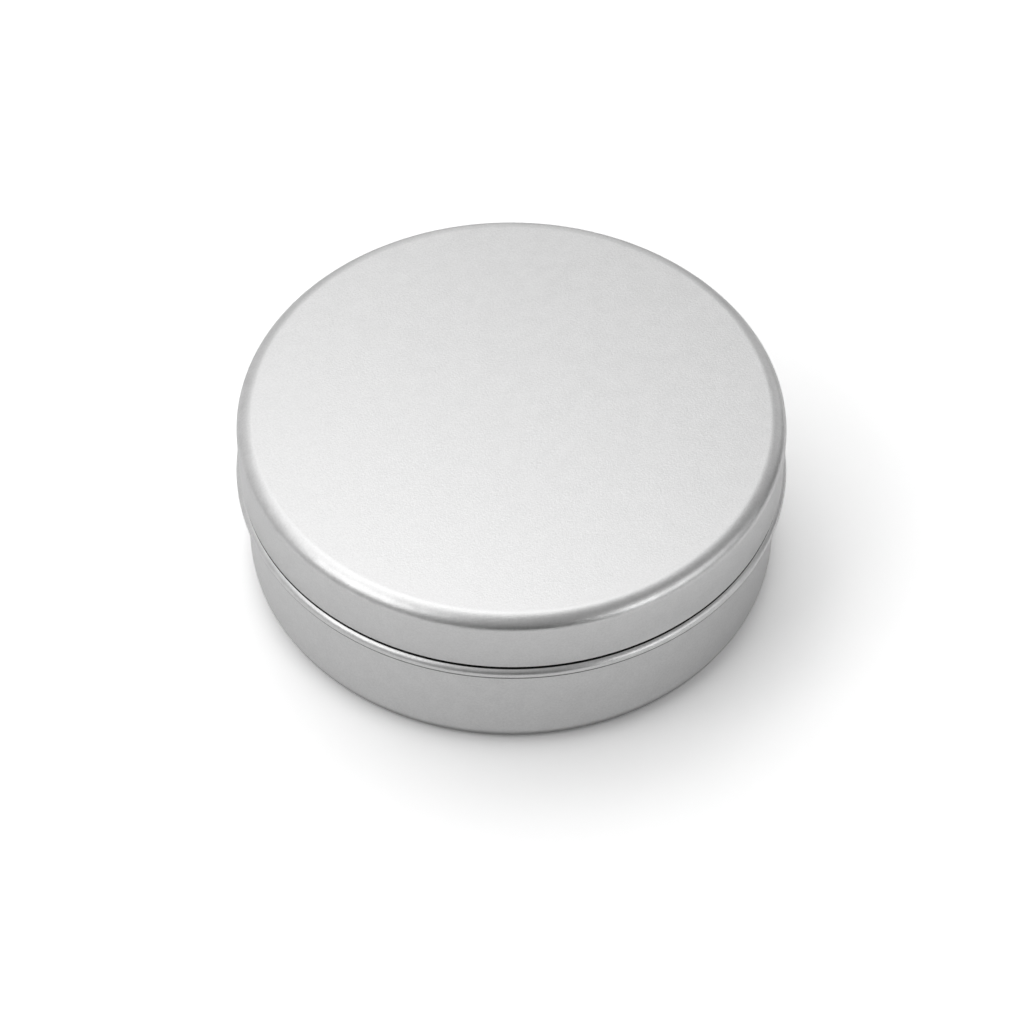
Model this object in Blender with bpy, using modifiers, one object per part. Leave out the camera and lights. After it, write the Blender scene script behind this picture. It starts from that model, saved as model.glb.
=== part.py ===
"""Round two-piece candy tin, drawn from thin aluminium sheet.

The base is one drawn cup: foot ring, rounded corner, straight wall, rolled bead, neck and
curled mouth. The lid is a second drawn cup that slips over the neck and stops above the bead.
Units are metres, +Z is up, and the origin is the middle of the face that the tin rests on.
"""
import bpy
from math import atan2, cos, pi, radians, sin, sqrt

MM = 0.001

# Driving sizes of the whole tin
LID_RADIUS = 43.0 * MM
OVERALL_HEIGHT = 30.5 * MM
SHEET = 0.4 * MM

# Lid
LID_DEPTH = 10.2 * MM
SHOULDER_RUN = 2.6 * MM
SHOULDER_DROP = 2.2 * MM

# Clearances between the lid and the base
SLIP_CLEARANCE = 0.35 * MM
MOUTH_GAP = 0.3 * MM
BEAD_GAP = 0.58 * MM

# Base
BEAD_RADIUS = 1.1 * MM
BEAD_PROUD = 0.6 * MM
BEAD_FILLET = 0.35 * MM
CURL_RADIUS = 0.9 * MM
CORNER_RADIUS = 3.8 * MM
FOOT_WIDTH = 1.9 * MM
RECESS_DEPTH = 0.5 * MM
RECESS_STEP = 1.4 * MM

# How finely the round stretches are cut
TURN_STEPS = 72
SHOULDER_STEPS = 6
BEAD_STEPS = 8
FILLET_STEPS = 2
CURL_STEPS = 9
CORNER_STEPS = 6
RECESS_STEPS = 5
MERGE_DISTANCE = 0.01 * MM

# Angles of the outlines, in radians
CURL_ROLL = radians(250)
SHARP_ANGLE = radians(35)

# Finish of the satin aluminium sheet
LID_COLOR = (0.78, 0.78, 0.78, 1.0)
BASE_COLOR = (0.76, 0.76, 0.76, 1.0)
SATIN_ROUGHNESS = 0.34

# Sizes and places that follow from the ones above
LID_EDGE_HEIGHT = OVERALL_HEIGHT - LID_DEPTH
LID_INNER_RADIUS = LID_RADIUS - SHEET
NECK_RADIUS = LID_INNER_RADIUS - SLIP_CLEARANCE
BEAD_CENTRE_RADIUS = LID_RADIUS + BEAD_PROUD - BEAD_RADIUS
FOOT_RADIUS = NECK_RADIUS - CORNER_RADIUS


def clear_scene():
    """Remove whatever the file held before."""
    for old in list(bpy.data.objects):
        bpy.data.objects.remove(old, do_unlink=True)


def make_collection(name):
    """New collection, linked to the scene."""
    collection = bpy.data.collections.new(name)
    bpy.context.scene.collection.children.link(collection)
    return collection


def arc(centre, radius, start, end, steps):
    """Points (radius, height) along a circle between two angles, both ends included."""
    points = []
    for i in range(steps + 1):
        angle = start + (end - start) * i / steps
        points.append((centre[0] + radius * cos(angle), centre[1] + radius * sin(angle)))
    return points


def shoulder():
    """Quarter ellipse from the lid's flat top over to its wall, above the lid's lower edge."""
    points = []
    for i in range(SHOULDER_STEPS + 1):
        angle = pi / 2 * (1 - i / SHOULDER_STEPS)
        radius = LID_RADIUS - SHOULDER_RUN * (1 - cos(angle))
        height = LID_DEPTH - SHOULDER_DROP * (1 - sin(angle))
        points.append((radius, height))
    return points


def lid_outline():
    """Outer skin of the lid, from the middle of its top down to its lower edge."""
    return [(0, LID_DEPTH)] + shoulder() + [(LID_RADIUS, 0)]


def bead_height():
    """Height of the bead's centre, which leaves the bead gap to the lid's inner lower corner."""
    reach = BEAD_RADIUS + BEAD_GAP
    inset = LID_INNER_RADIUS - BEAD_CENTRE_RADIUS
    return LID_EDGE_HEIGHT - sqrt(reach * reach - inset * inset)


def bead():
    """Rolled bead with a fillet to the wall above and below it, from top to bottom."""
    height = bead_height()
    fillet_centre_radius = NECK_RADIUS + BEAD_FILLET
    inset = fillet_centre_radius - BEAD_CENTRE_RADIUS
    reach = BEAD_RADIUS + BEAD_FILLET
    rise = sqrt(reach * reach - inset * inset)
    touch = atan2(rise, inset)
    upper = (fillet_centre_radius, height + rise)
    middle = (BEAD_CENTRE_RADIUS, height)
    lower = (fillet_centre_radius, height - rise)
    points = arc(upper, BEAD_FILLET, pi, pi + touch, FILLET_STEPS)
    points += arc(middle, BEAD_RADIUS, touch, -touch, BEAD_STEPS)[1:]
    points += arc(lower, BEAD_FILLET, pi - touch, pi, FILLET_STEPS)[1:]
    return points


def curl_centre():
    """Centre of the mouth's curl, as high as its gap to the inside of the lid lets it stand."""
    radius = NECK_RADIUS - CURL_RADIUS
    reach = CURL_RADIUS + MOUTH_GAP + SHEET
    heights = [OVERALL_HEIGHT - reach]
    for shoulder_radius, height in shoulder():
        inset = shoulder_radius - radius
        if abs(inset) < reach:
            heights.append(LID_EDGE_HEIGHT + height - sqrt(reach * reach - inset * inset))
    return (radius, min(heights))


def mouth_curl():
    """Curl of the mouth, from its hidden end over the top and out to the neck."""
    return arc(curl_centre(), CURL_RADIUS, CURL_ROLL, 0, CURL_STEPS)


def recess():
    """Cosine step from the foot ring up to the raised panel, and the panel to its middle."""
    foot_inner_radius = FOOT_RADIUS - FOOT_WIDTH
    points = []
    for i in range(RECESS_STEPS + 1):
        share = i / RECESS_STEPS
        radius = foot_inner_radius - RECESS_STEP * share
        points.append((radius, RECESS_DEPTH * (1 - cos(pi * share)) / 2))
    return points + [(0, RECESS_DEPTH)]


def base_outline():
    """Outer skin of the base, from the mouth's curl down to the middle of the underside."""
    corner = arc((FOOT_RADIUS, CORNER_RADIUS), CORNER_RADIUS, 0, -pi / 2, CORNER_STEPS)
    return mouth_curl() + bead() + corner + recess()


def turned_sheet(name, outline, height, collection):
    """Sheet-metal piece: its outer skin turned about the Z axis and thickened inward."""
    profile = bpy.data.meshes.new(name + "_profile")
    vertices = [(radius, 0, z) for radius, z in outline]
    edges = [(i, i + 1) for i in range(len(vertices) - 1)]
    profile.from_pydata(vertices, edges, [])
    piece = bpy.data.objects.new(name, profile)
    collection.objects.link(piece)
    piece.location = (0, 0, height)
    turn = piece.modifiers.new("turn", "SCREW")
    turn.axis = "Z"
    turn.angle = 2 * pi
    turn.steps = TURN_STEPS
    turn.render_steps = TURN_STEPS
    turn.use_merge_vertices = True
    turn.merge_threshold = MERGE_DISTANCE
    skin = piece.modifiers.new("sheet", "SOLIDIFY")
    skin.thickness = SHEET
    skin.offset = -1
    skin.use_even_offset = True
    skin.use_rim = True
    return piece


def smooth(piece):
    """Turn a piece's modifiers into its mesh and shade its round stretches smooth."""
    graph = bpy.context.evaluated_depsgraph_get()
    mesh = bpy.data.meshes.new_from_object(piece.evaluated_get(graph))
    mesh.name = piece.name
    profile = piece.data
    piece.modifiers.clear()
    piece.data = mesh
    bpy.data.meshes.remove(profile)
    mesh.shade_smooth()
    mesh.set_sharp_from_angle(angle=SHARP_ANGLE)


def satin_aluminium(name, color):
    """Matt, bead-blasted bare aluminium."""
    material = bpy.data.materials.new(name)
    material.use_nodes = True
    shader = material.node_tree.nodes["Principled BSDF"]
    shader.inputs["Base Color"].default_value = color
    shader.inputs["Metallic"].default_value = 1.0
    shader.inputs["Roughness"].default_value = SATIN_ROUGHNESS
    return material


def make_base(collection):
    """Drawn base, which stands on its foot ring."""
    base = turned_sheet("base", base_outline(), 0, collection)
    smooth(base)
    base.data.materials.append(satin_aluminium("base_sheet", BASE_COLOR))
    return base


def make_lid(collection):
    """Slip-on lid, whose origin is on the lift axis at its lower edge."""
    lid = turned_sheet("lid", lid_outline(), LID_EDGE_HEIGHT, collection)
    smooth(lid)
    lid.data.materials.append(satin_aluminium("lid_sheet", LID_COLOR))
    return lid


def main():
    """Build the closed tin."""
    clear_scene()
    tin = make_collection("candy_tin")
    make_base(tin)
    make_lid(tin)


main()
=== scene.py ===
"""Looks of the round candy tin: fine turned shells, satin aluminium and soft studio light.

Units are metres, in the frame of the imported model: +Z is up and the tin stands at Z = 0.
"""
from math import atan2, cos, pi, radians, sin, sqrt

import bpy
from mathutils import Matrix, Vector

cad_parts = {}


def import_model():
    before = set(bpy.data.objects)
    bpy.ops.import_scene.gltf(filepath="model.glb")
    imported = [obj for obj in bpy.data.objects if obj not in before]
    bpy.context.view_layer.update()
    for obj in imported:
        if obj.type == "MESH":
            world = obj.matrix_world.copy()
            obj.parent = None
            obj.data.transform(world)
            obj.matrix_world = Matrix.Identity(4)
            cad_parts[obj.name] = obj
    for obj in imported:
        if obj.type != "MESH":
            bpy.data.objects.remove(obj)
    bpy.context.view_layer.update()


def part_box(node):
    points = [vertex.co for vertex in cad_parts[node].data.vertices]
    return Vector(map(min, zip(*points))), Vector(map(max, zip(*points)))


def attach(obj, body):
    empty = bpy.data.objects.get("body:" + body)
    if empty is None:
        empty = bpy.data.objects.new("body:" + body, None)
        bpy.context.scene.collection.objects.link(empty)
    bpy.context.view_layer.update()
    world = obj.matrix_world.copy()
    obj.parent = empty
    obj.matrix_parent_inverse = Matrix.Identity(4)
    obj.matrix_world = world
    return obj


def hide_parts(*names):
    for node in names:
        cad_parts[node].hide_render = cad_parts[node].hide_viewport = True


MM = 0.001

# Camera, fitted to the outlines of the tin in the photograph. Lens and sensor are in millimetres
CAMERA_AIM = (0.14 * MM, 0.0, 5.87 * MM)
CAMERA_DISTANCE = 526.4 * MM
CAMERA_ELEVATION = radians(49.41)
CAMERA_ROLL = radians(0.284)
CAMERA_LENS = 114.4
CAMERA_SENSOR = 36.0

# Sizes of the sheet metal that the frame's boxes don't give, as in the part's source
SHEET = 0.4 * MM
SHOULDER_RUN = 2.6 * MM
SHOULDER_DROP = 2.2 * MM
SLIP_CLEARANCE = 0.35 * MM
BEAD_GAP = 0.58 * MM
BEAD_RADIUS = 1.1 * MM
BEAD_FILLET = 0.35 * MM
CURL_RADIUS = 0.9 * MM
CURL_ROLL = radians(250)
CORNER_RADIUS = 3.8 * MM
FOOT_WIDTH = 1.9 * MM
RECESS_DEPTH = 0.5 * MM
RECESS_STEP = 1.4 * MM

# Satin aluminium: its tone and roughness, a fine grain, and a soft mottle
LID_TONE = 0.78
BASE_TONE = 0.78
SATIN = 0.36
GRAIN_SIZE = 0.35 * MM
GRAIN_DEPTH = 0.03 * MM
GRAIN_TONE = 0.05
GRAIN_GLOSS = 0.03
GRAIN_HARSHNESS = 0.8
MOTTLE_SIZE = 2.5 * MM
MOTTLE_TONE = 0.015
MOTTLE_GLOSS = 0.015
MOTTLE_HARSHNESS = 0.5
NOISE_DETAIL = 3
NOISE_LOW = 0.3
NOISE_HIGH = 0.7

# Wear in patches on the rounded forms. Its limits are squares of the normal's upward part, which
# is 0 on a wall and 1 on a flat
WEAR_TONE = 0.03
WEAR_GLOSS = 0.05
WEAR_START = 0.01
WEAR_FULL = 0.1
WEAR_FADING = 0.7
WEAR_END = 0.95
PATCH_LOW = 0.4
PATCH_HIGH = 0.6

# Painted shade in the gap under the lid, along the bead's top. Shut and open are shares of what
# is free of metal round a point, within the gap's depth
GAP_DEPTH = 2.5 * MM
GAP_SHUT = 0.78
GAP_OPEN = 0.9
GAP_REACH = 0.38 * MM
GAP_FADE = 0.01 * MM
GAP_PAINTED_SHADE = 0.05

# Painted shade, a dark line on the bead's lower flank, measured down from the bead's centre
CREASE_HIGH = 0.2 * MM
CREASE_LOW = 0.78 * MM
CREASE_PAINTED_SHADE = 0.18
CREASE_FADE = 0.05 * MM

# Painted shade, a soft dark edge on the outside of the lower corner, measured up from the foot.
# Facing is the normal's upward part at which it is full
FOOT_START = 0.6 * MM
FOOT_LOW = 0.9 * MM
FOOT_HIGH = 1.5 * MM
FOOT_END = 3.3 * MM
FOOT_PAINTED_SHADE = 0.22
FOOT_FACING = -0.1

# Studio. A program solved the world's levels by least squares from the photograph's brightness
FLOOR_SIZE = 0.44
FLOOR_TO_CAMERA = (1.6, 1.6, 1.6, 1)
FLOOR_IN_METAL = (0.92, 0.92, 0.92, 1)
# Reach of the floor's painted contact shadow round the foot
FLOOR_PAINTED_SHADOW_REACH = 0.8 * MM
WHITE = (1, 1, 1, 1)
WORLD_TO_CAMERA = 1.0
WORLD_SIDES = (-1, 1, 1)
WORLD_LEVELS = (0.447, 0.359, 0.359)

# How finely the shells are cut
TURN_STEPS = 256
SHOULDER_STEPS = 28
BEAD_STEPS = 40
FILLET_STEPS = 8
CURL_STEPS = 36
CORNER_STEPS = 24
RECESS_STEPS = 16
FLAT_STEPS = 6

# How close the rings lie that hold the flats and the walls straight, and how edges are rounded
HOLD = 0.05 * MM
RIM_ROUND = 0.05 * MM
RIM_STEPS = 3
RIM_ANGLE = radians(60)
SHARP_ANGLE = radians(50)
MERGE_DISTANCE = 0.001 * MM

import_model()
lid_low, lid_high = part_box("lid")
base_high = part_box("base")[1]

# Sizes read from the frame, and those that follow from them
LID_RADIUS = lid_high.x
LID_EDGE_HEIGHT = lid_low.z
OVERALL_HEIGHT = lid_high.z
MOUTH_HEIGHT = base_high.z
LID_INNER_RADIUS = LID_RADIUS - SHEET
NECK_RADIUS = LID_INNER_RADIUS - SLIP_CLEARANCE
BEAD_CENTRE_RADIUS = base_high.x - BEAD_RADIUS
FOOT_RADIUS = NECK_RADIUS - CORNER_RADIUS


def arc(centre, radius, start, end, steps):
    """Points (radius, height) along a circle between two angles, both ends included."""
    points = []
    for i in range(steps + 1):
        angle = start + (end - start) * i / steps
        points.append((centre[0] + radius * cos(angle), centre[1] + radius * sin(angle)))
    return points


def flat(height, outer):
    """Rings of a flat disc, from its middle out, with a last ring that holds it flat."""
    rings = [(outer * i / FLAT_STEPS, height) for i in range(FLAT_STEPS)]
    return rings + [(outer - HOLD, height)]


def lid_outline():
    """Outer skin of the lid, from the middle of its top down to its lower edge."""
    shoulder = []
    for i in range(SHOULDER_STEPS + 1):
        angle = pi / 2 * (1 - i / SHOULDER_STEPS)
        radius = LID_RADIUS - SHOULDER_RUN * (1 - cos(angle))
        height = OVERALL_HEIGHT - SHOULDER_DROP * (1 - sin(angle))
        shoulder.append((radius, height))
    wall_top = OVERALL_HEIGHT - SHOULDER_DROP - HOLD
    wall = [(LID_RADIUS, wall_top), (LID_RADIUS, LID_EDGE_HEIGHT)]
    return flat(OVERALL_HEIGHT, LID_RADIUS - SHOULDER_RUN) + shoulder + wall


def bead_height():
    """Height of the bead's centre under the lid's inner lower corner."""
    reach = BEAD_RADIUS + BEAD_GAP
    inset = LID_INNER_RADIUS - BEAD_CENTRE_RADIUS
    return LID_EDGE_HEIGHT - sqrt(reach * reach - inset * inset)


def bead():
    """Rolled bead with a fillet to the wall above and below it, from top to bottom."""
    height = bead_height()
    fillet_centre_radius = NECK_RADIUS + BEAD_FILLET
    inset = fillet_centre_radius - BEAD_CENTRE_RADIUS
    reach = BEAD_RADIUS + BEAD_FILLET
    rise = sqrt(reach * reach - inset * inset)
    touch = atan2(rise, inset)
    upper = (fillet_centre_radius, height + rise)
    middle = (BEAD_CENTRE_RADIUS, height)
    lower = (fillet_centre_radius, height - rise)
    points = [(NECK_RADIUS, height + rise + HOLD)]
    points += arc(upper, BEAD_FILLET, pi, pi + touch, FILLET_STEPS)
    points += arc(middle, BEAD_RADIUS, touch, -touch, BEAD_STEPS)[1:]
    points += arc(lower, BEAD_FILLET, pi - touch, pi, FILLET_STEPS)[1:]
    return points + [(NECK_RADIUS, height - rise - HOLD)]


def base_outline():
    """Outer skin of the base, from the mouth's curl down to the middle of the underside."""
    curl_centre = (NECK_RADIUS - CURL_RADIUS, MOUTH_HEIGHT - CURL_RADIUS)
    points = arc(curl_centre, CURL_RADIUS, CURL_ROLL, 0, CURL_STEPS)
    points += [(NECK_RADIUS, MOUTH_HEIGHT - CURL_RADIUS - HOLD)]
    points += bead()
    points += [(NECK_RADIUS, CORNER_RADIUS + HOLD)]
    points += arc((FOOT_RADIUS, CORNER_RADIUS), CORNER_RADIUS, 0, -pi / 2, CORNER_STEPS)
    foot_inner = FOOT_RADIUS - FOOT_WIDTH
    points += [(FOOT_RADIUS - HOLD, 0), (foot_inner + HOLD, 0)]
    for i in range(RECESS_STEPS + 1):
        share = i / RECESS_STEPS
        height = RECESS_DEPTH * (1 - cos(pi * share)) / 2
        points.append((foot_inner - RECESS_STEP * share, height))
    return points + flat(RECESS_DEPTH, foot_inner - RECESS_STEP)[::-1]


def turned_shell(name, outline, body, node):
    """Sheet-metal shell turned about the Z axis, which stands for a node of the frame."""
    profile = bpy.data.meshes.new(name + "_profile")
    edges = [(i, i + 1) for i in range(len(outline) - 1)]
    profile.from_pydata([(radius, 0, z) for radius, z in outline], edges, [])
    shell = bpy.data.objects.new(name, profile)
    bpy.context.scene.collection.objects.link(shell)
    turn = shell.modifiers.new("turn", "SCREW")
    turn.axis = "Z"
    turn.angle = 2 * pi
    turn.steps = TURN_STEPS
    turn.render_steps = TURN_STEPS
    turn.use_merge_vertices = True
    turn.merge_threshold = MERGE_DISTANCE
    sheet = shell.modifiers.new("sheet", "SOLIDIFY")
    sheet.thickness = SHEET
    sheet.offset = -1
    sheet.use_even_offset = True
    rim = shell.modifiers.new("rim", "BEVEL")
    rim.width = RIM_ROUND
    rim.segments = RIM_STEPS
    rim.limit_method = "ANGLE"
    rim.angle_limit = RIM_ANGLE
    graph = bpy.context.evaluated_depsgraph_get()
    mesh = bpy.data.meshes.new_from_object(shell.evaluated_get(graph))
    shell.modifiers.clear()
    shell.data = mesh
    bpy.data.meshes.remove(profile)
    mesh.name = name
    mesh.shade_smooth()
    mesh.set_sharp_from_angle(angle=SHARP_ANGLE)
    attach(shell, body)
    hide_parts(node)
    return shell


def satin_aluminium(name, tone):
    """Bead-blasted bare aluminium: fine grain, soft mottle and wear on the rounded forms.

    Its tone has painted shade in the gap under the lid, on the bead's lower flank and at the
    foot.
    """
    material = bpy.data.materials.new(name)
    material.use_nodes = True
    nodes, links = material.node_tree.nodes, material.node_tree.links
    shader = nodes["Principled BSDF"]
    shader.inputs["Metallic"].default_value = 1.0
    place = nodes.new("ShaderNodeTexCoord")

    def noise(size, harshness):
        """Noise in the piece's own space, with features of about this size."""
        texture = nodes.new("ShaderNodeTexNoise")
        texture.inputs["Scale"].default_value = 1 / size
        texture.inputs["Detail"].default_value = NOISE_DETAIL
        texture.inputs["Roughness"].default_value = harshness
        links.new(place.outputs["Object"], texture.inputs["Vector"])
        return texture.outputs["Fac"]

    def remap(source, lowest, highest, low, high):
        """Source from lowest to highest, turned into low to high and held there beyond."""
        node = nodes.new("ShaderNodeMapRange")
        node.inputs["From Min"].default_value = lowest
        node.inputs["From Max"].default_value = highest
        node.inputs["To Min"].default_value = low
        node.inputs["To Max"].default_value = high
        links.new(source, node.inputs["Value"])
        return node.outputs["Result"]

    def spread(source, middle, reach):
        """Noise turned into a value that lies up to its reach on both sides of its middle."""
        return remap(source, NOISE_LOW, NOISE_HIGH, middle - reach, middle + reach)

    def join(operation, first, second):
        """Two values joined by a Math node."""
        node = nodes.new("ShaderNodeMath")
        node.operation = operation
        links.new(first, node.inputs[0])
        links.new(second, node.inputs[1])
        return node.outputs[0]

    def height_of(vector):
        """Z of a place or a normal."""
        axes = nodes.new("ShaderNodeSeparateXYZ")
        links.new(vector, axes.inputs[0])
        return axes.outputs["Z"]

    def stripe(start, low, high, end, inside):
        """Inside value between low and high, which fades to 1 at start and at end."""
        under = remap(height, start, low, 1, inside)
        over = remap(height, high, end, inside, 1)
        return join("MAXIMUM", under, over)

    surface = nodes.new("ShaderNodeNewGeometry")
    height = height_of(place.outputs["Object"])
    facing = height_of(surface.outputs["Normal"])
    grain = noise(GRAIN_SIZE, GRAIN_HARSHNESS)
    mottle = noise(MOTTLE_SIZE, MOTTLE_HARSHNESS)

    # Wear leaves out the walls and the flats
    slope = join("MULTIPLY", facing, facing)
    off_wall = remap(slope, WEAR_START, WEAR_FULL, 0, 1)
    off_flat = remap(slope, WEAR_FADING, WEAR_END, 1, 0)
    patches = remap(mottle, PATCH_LOW, PATCH_HIGH, 0, 1)
    wear = join("MULTIPLY", join("MINIMUM", off_wall, off_flat), patches)

    # Tone of the open surface
    shade = join("ADD", spread(grain, tone, GRAIN_TONE), spread(mottle, 0, MOTTLE_TONE))
    shade = join("ADD", shade, remap(wear, 0, 1, 0, WEAR_TONE))

    # Painted shade in the gap, dark where the metal round it shuts it in
    hollow = nodes.new("ShaderNodeAmbientOcclusion")
    hollow.inputs["Distance"].default_value = GAP_DEPTH
    lifted = remap(hollow.outputs["AO"], GAP_SHUT, GAP_OPEN, 0, 1)
    gap_low = bead_height() + sqrt(BEAD_RADIUS * BEAD_RADIUS - GAP_REACH * GAP_REACH)
    gap_high = bead_height() + BEAD_RADIUS + HOLD
    gap_painted_shade = stripe(gap_low - GAP_FADE, gap_low, gap_high, gap_high + GAP_FADE, GAP_PAINTED_SHADE)
    shade = join("MULTIPLY", shade, join("MAXIMUM", gap_painted_shade, lifted))

    # Painted shade, a dark line on the bead's lower flank
    crease_low, crease_high = bead_height() - CREASE_LOW, bead_height() - CREASE_HIGH
    crease_start, crease_end = crease_low - CREASE_FADE, crease_high + CREASE_FADE
    crease_painted_shade = stripe(crease_start, crease_low, crease_high, crease_end, CREASE_PAINTED_SHADE)
    shade = join("MULTIPLY", shade, crease_painted_shade)

    # Painted shade at the foot, only where the surface faces down, which leaves out the inside
    # of the base
    foot_painted_shade = stripe(FOOT_START, FOOT_LOW, FOOT_HIGH, FOOT_END, FOOT_PAINTED_SHADE)
    turned_up = remap(facing, FOOT_FACING, 0, 0, 1)
    shade = join("MULTIPLY", shade, join("MAXIMUM", foot_painted_shade, turned_up))
    color = nodes.new("ShaderNodeCombineColor")
    for channel in ("Red", "Green", "Blue"):
        links.new(shade, color.inputs[channel])
    links.new(color.outputs["Color"], shader.inputs["Base Color"])

    # Roughness, which wear lowers, and the grain's relief
    rough = join("ADD", spread(grain, SATIN, GRAIN_GLOSS), spread(mottle, 0, MOTTLE_GLOSS))
    rough = join("SUBTRACT", rough, remap(wear, 0, 1, 0, WEAR_GLOSS))
    links.new(rough, shader.inputs["Roughness"])
    bump = nodes.new("ShaderNodeBump")
    bump.inputs["Strength"].default_value = 1.0
    bump.inputs["Distance"].default_value = GRAIN_DEPTH
    links.new(grain, bump.inputs["Height"])
    links.new(bump.outputs["Normal"], shader.inputs["Normal"])
    return material


def floor():
    """White floor that keeps the tin's shadow, with painted contact shadow where it meets the
    foot.

    The camera sees it whiter than the metal does.
    """
    mesh = bpy.data.meshes.new("floor")
    half = FLOOR_SIZE / 2
    corners = [(-half, -half, 0), (half, -half, 0), (half, half, 0), (-half, half, 0)]
    mesh.from_pydata(corners, [], [(0, 1, 2, 3)])
    plane = bpy.data.objects.new("floor", mesh)
    bpy.context.scene.collection.objects.link(plane)
    material = bpy.data.materials.new("floor_white")
    material.use_nodes = True
    nodes, links = material.node_tree.nodes, material.node_tree.links
    nodes.clear()
    path = nodes.new("ShaderNodeLightPath")
    shade = nodes.new("ShaderNodeMix")
    shade.data_type = "RGBA"
    shade.inputs["A"].default_value = FLOOR_IN_METAL
    # Painted contact shadow: the floor's colour for the camera darkens by ambient occlusion near
    # the foot
    painted_contact_shadow = nodes.new("ShaderNodeAmbientOcclusion")
    painted_contact_shadow.inputs["Color"].default_value = FLOOR_TO_CAMERA
    painted_contact_shadow.inputs["Distance"].default_value = FLOOR_PAINTED_SHADOW_REACH
    links.new(painted_contact_shadow.outputs["Color"], shade.inputs["B"])
    links.new(path.outputs["Is Camera Ray"], shade.inputs["Factor"])
    matt = nodes.new("ShaderNodeBsdfDiffuse")
    links.new(shade.outputs["Result"], matt.inputs["Color"])
    out = nodes.new("ShaderNodeOutputMaterial")
    links.new(matt.outputs[0], out.inputs["Surface"])
    mesh.materials.append(material)


def world():
    """Soft light that grows to the left, behind and above. Only the camera sees white there."""
    made = bpy.data.worlds.new("studio")
    bpy.context.scene.world = made
    made.use_nodes = True
    nodes, links = made.node_tree.nodes, made.node_tree.links
    place = nodes.new("ShaderNodeTexCoord")
    facing = nodes.new("ShaderNodeVectorMath")
    facing.operation = "MULTIPLY"
    facing.inputs[1].default_value = WORLD_SIDES
    links.new(place.outputs["Generated"], facing.inputs[0])
    toward = nodes.new("ShaderNodeVectorMath")
    toward.operation = "MAXIMUM"
    toward.inputs[1].default_value = (0, 0, 0)
    links.new(facing.outputs["Vector"], toward.inputs[0])
    light = nodes.new("ShaderNodeVectorMath")
    light.operation = "DOT_PRODUCT"
    light.inputs[1].default_value = WORLD_LEVELS
    links.new(toward.outputs["Vector"], light.inputs[0])
    path = nodes.new("ShaderNodeLightPath")
    level = nodes.new("ShaderNodeMix")
    level.inputs["B"].default_value = WORLD_TO_CAMERA
    links.new(path.outputs["Is Camera Ray"], level.inputs["Factor"])
    links.new(light.outputs["Value"], level.inputs["A"])
    nodes["Background"].inputs["Color"].default_value = WHITE
    links.new(level.outputs["Result"], nodes["Background"].inputs["Strength"])


def softbox(name, azimuth, elevation, distance, size, power):
    """Square area lamp aimed at the tin, which the camera doesn't see.

    Angles are in degrees, and azimuth 0 is the camera's side and 90 the right. Distance and size
    are in metres, and power is in watts.
    """
    data = bpy.data.lights.new(name, "AREA")
    data.shape = "SQUARE"
    data.size = size
    data.energy = power
    lamp = bpy.data.objects.new(name, data)
    bpy.context.scene.collection.objects.link(lamp)
    turn, lift = radians(azimuth), radians(elevation)
    away = Vector((sin(turn) * cos(lift), -cos(turn) * cos(lift), sin(lift)))
    lamp.location = away * distance
    lamp.rotation_euler = away.to_track_quat("Z", "Y").to_euler()
    lamp.visible_camera = False


def camera():
    """Camera at the photograph's viewing angle."""
    data = bpy.data.cameras.new("camera")
    data.lens = CAMERA_LENS
    data.sensor_width = CAMERA_SENSOR
    eye = bpy.data.objects.new("camera", data)
    bpy.context.scene.collection.objects.link(eye)
    back = Vector((0, -cos(CAMERA_ELEVATION), sin(CAMERA_ELEVATION)))
    place = Matrix.Translation(Vector(CAMERA_AIM) + back * CAMERA_DISTANCE)
    turn = back.to_track_quat("Z", "Y").to_matrix().to_4x4()
    eye.matrix_world = place @ turn @ Matrix.Rotation(CAMERA_ROLL, 4, "Z")
    bpy.context.scene.camera = eye


camera()
lid = turned_shell("lid_shell", lid_outline(), body="lid", node="lid")
lid.data.materials.append(satin_aluminium("lid_satin", LID_TONE))
base = turned_shell("base_shell", base_outline(), body="base", node="base")
base.data.materials.append(satin_aluminium("base_satin", BASE_TONE))
floor()
world()

# Lamps. A program picked their places from lists of candidates and solved their powers by least
# squares from the photograph's brightness. The powers of back, back_high and back_low were then
# changed
softbox("key", azimuth=-60, elevation=42, distance=1.0, size=0.55, power=1.122)
softbox("left", azimuth=-90, elevation=64, distance=0.5, size=0.3, power=0.2)
softbox("back_left", azimuth=-150, elevation=60, distance=0.5, size=0.3, power=0.111)
softbox("back", azimuth=180, elevation=64, distance=0.5, size=0.3, power=0.141)
softbox("back_high", azimuth=180, elevation=76, distance=0.5, size=0.3, power=0.104)
softbox("back_low", azimuth=180, elevation=18, distance=1.0, size=0.5, power=0.26)
softbox("back_right", azimuth=135, elevation=18, distance=1.0, size=0.5, power=0.208)
softbox("right", azimuth=60, elevation=24, distance=1.0, size=0.55, power=0.479)
softbox("right_low", azimuth=80, elevation=14, distance=1.0, size=0.6, power=0.521)
softbox("fill", azimuth=45, elevation=14, distance=1.0, size=0.4, power=0.713)

bpy.context.scene.view_settings.view_transform = "Standard"
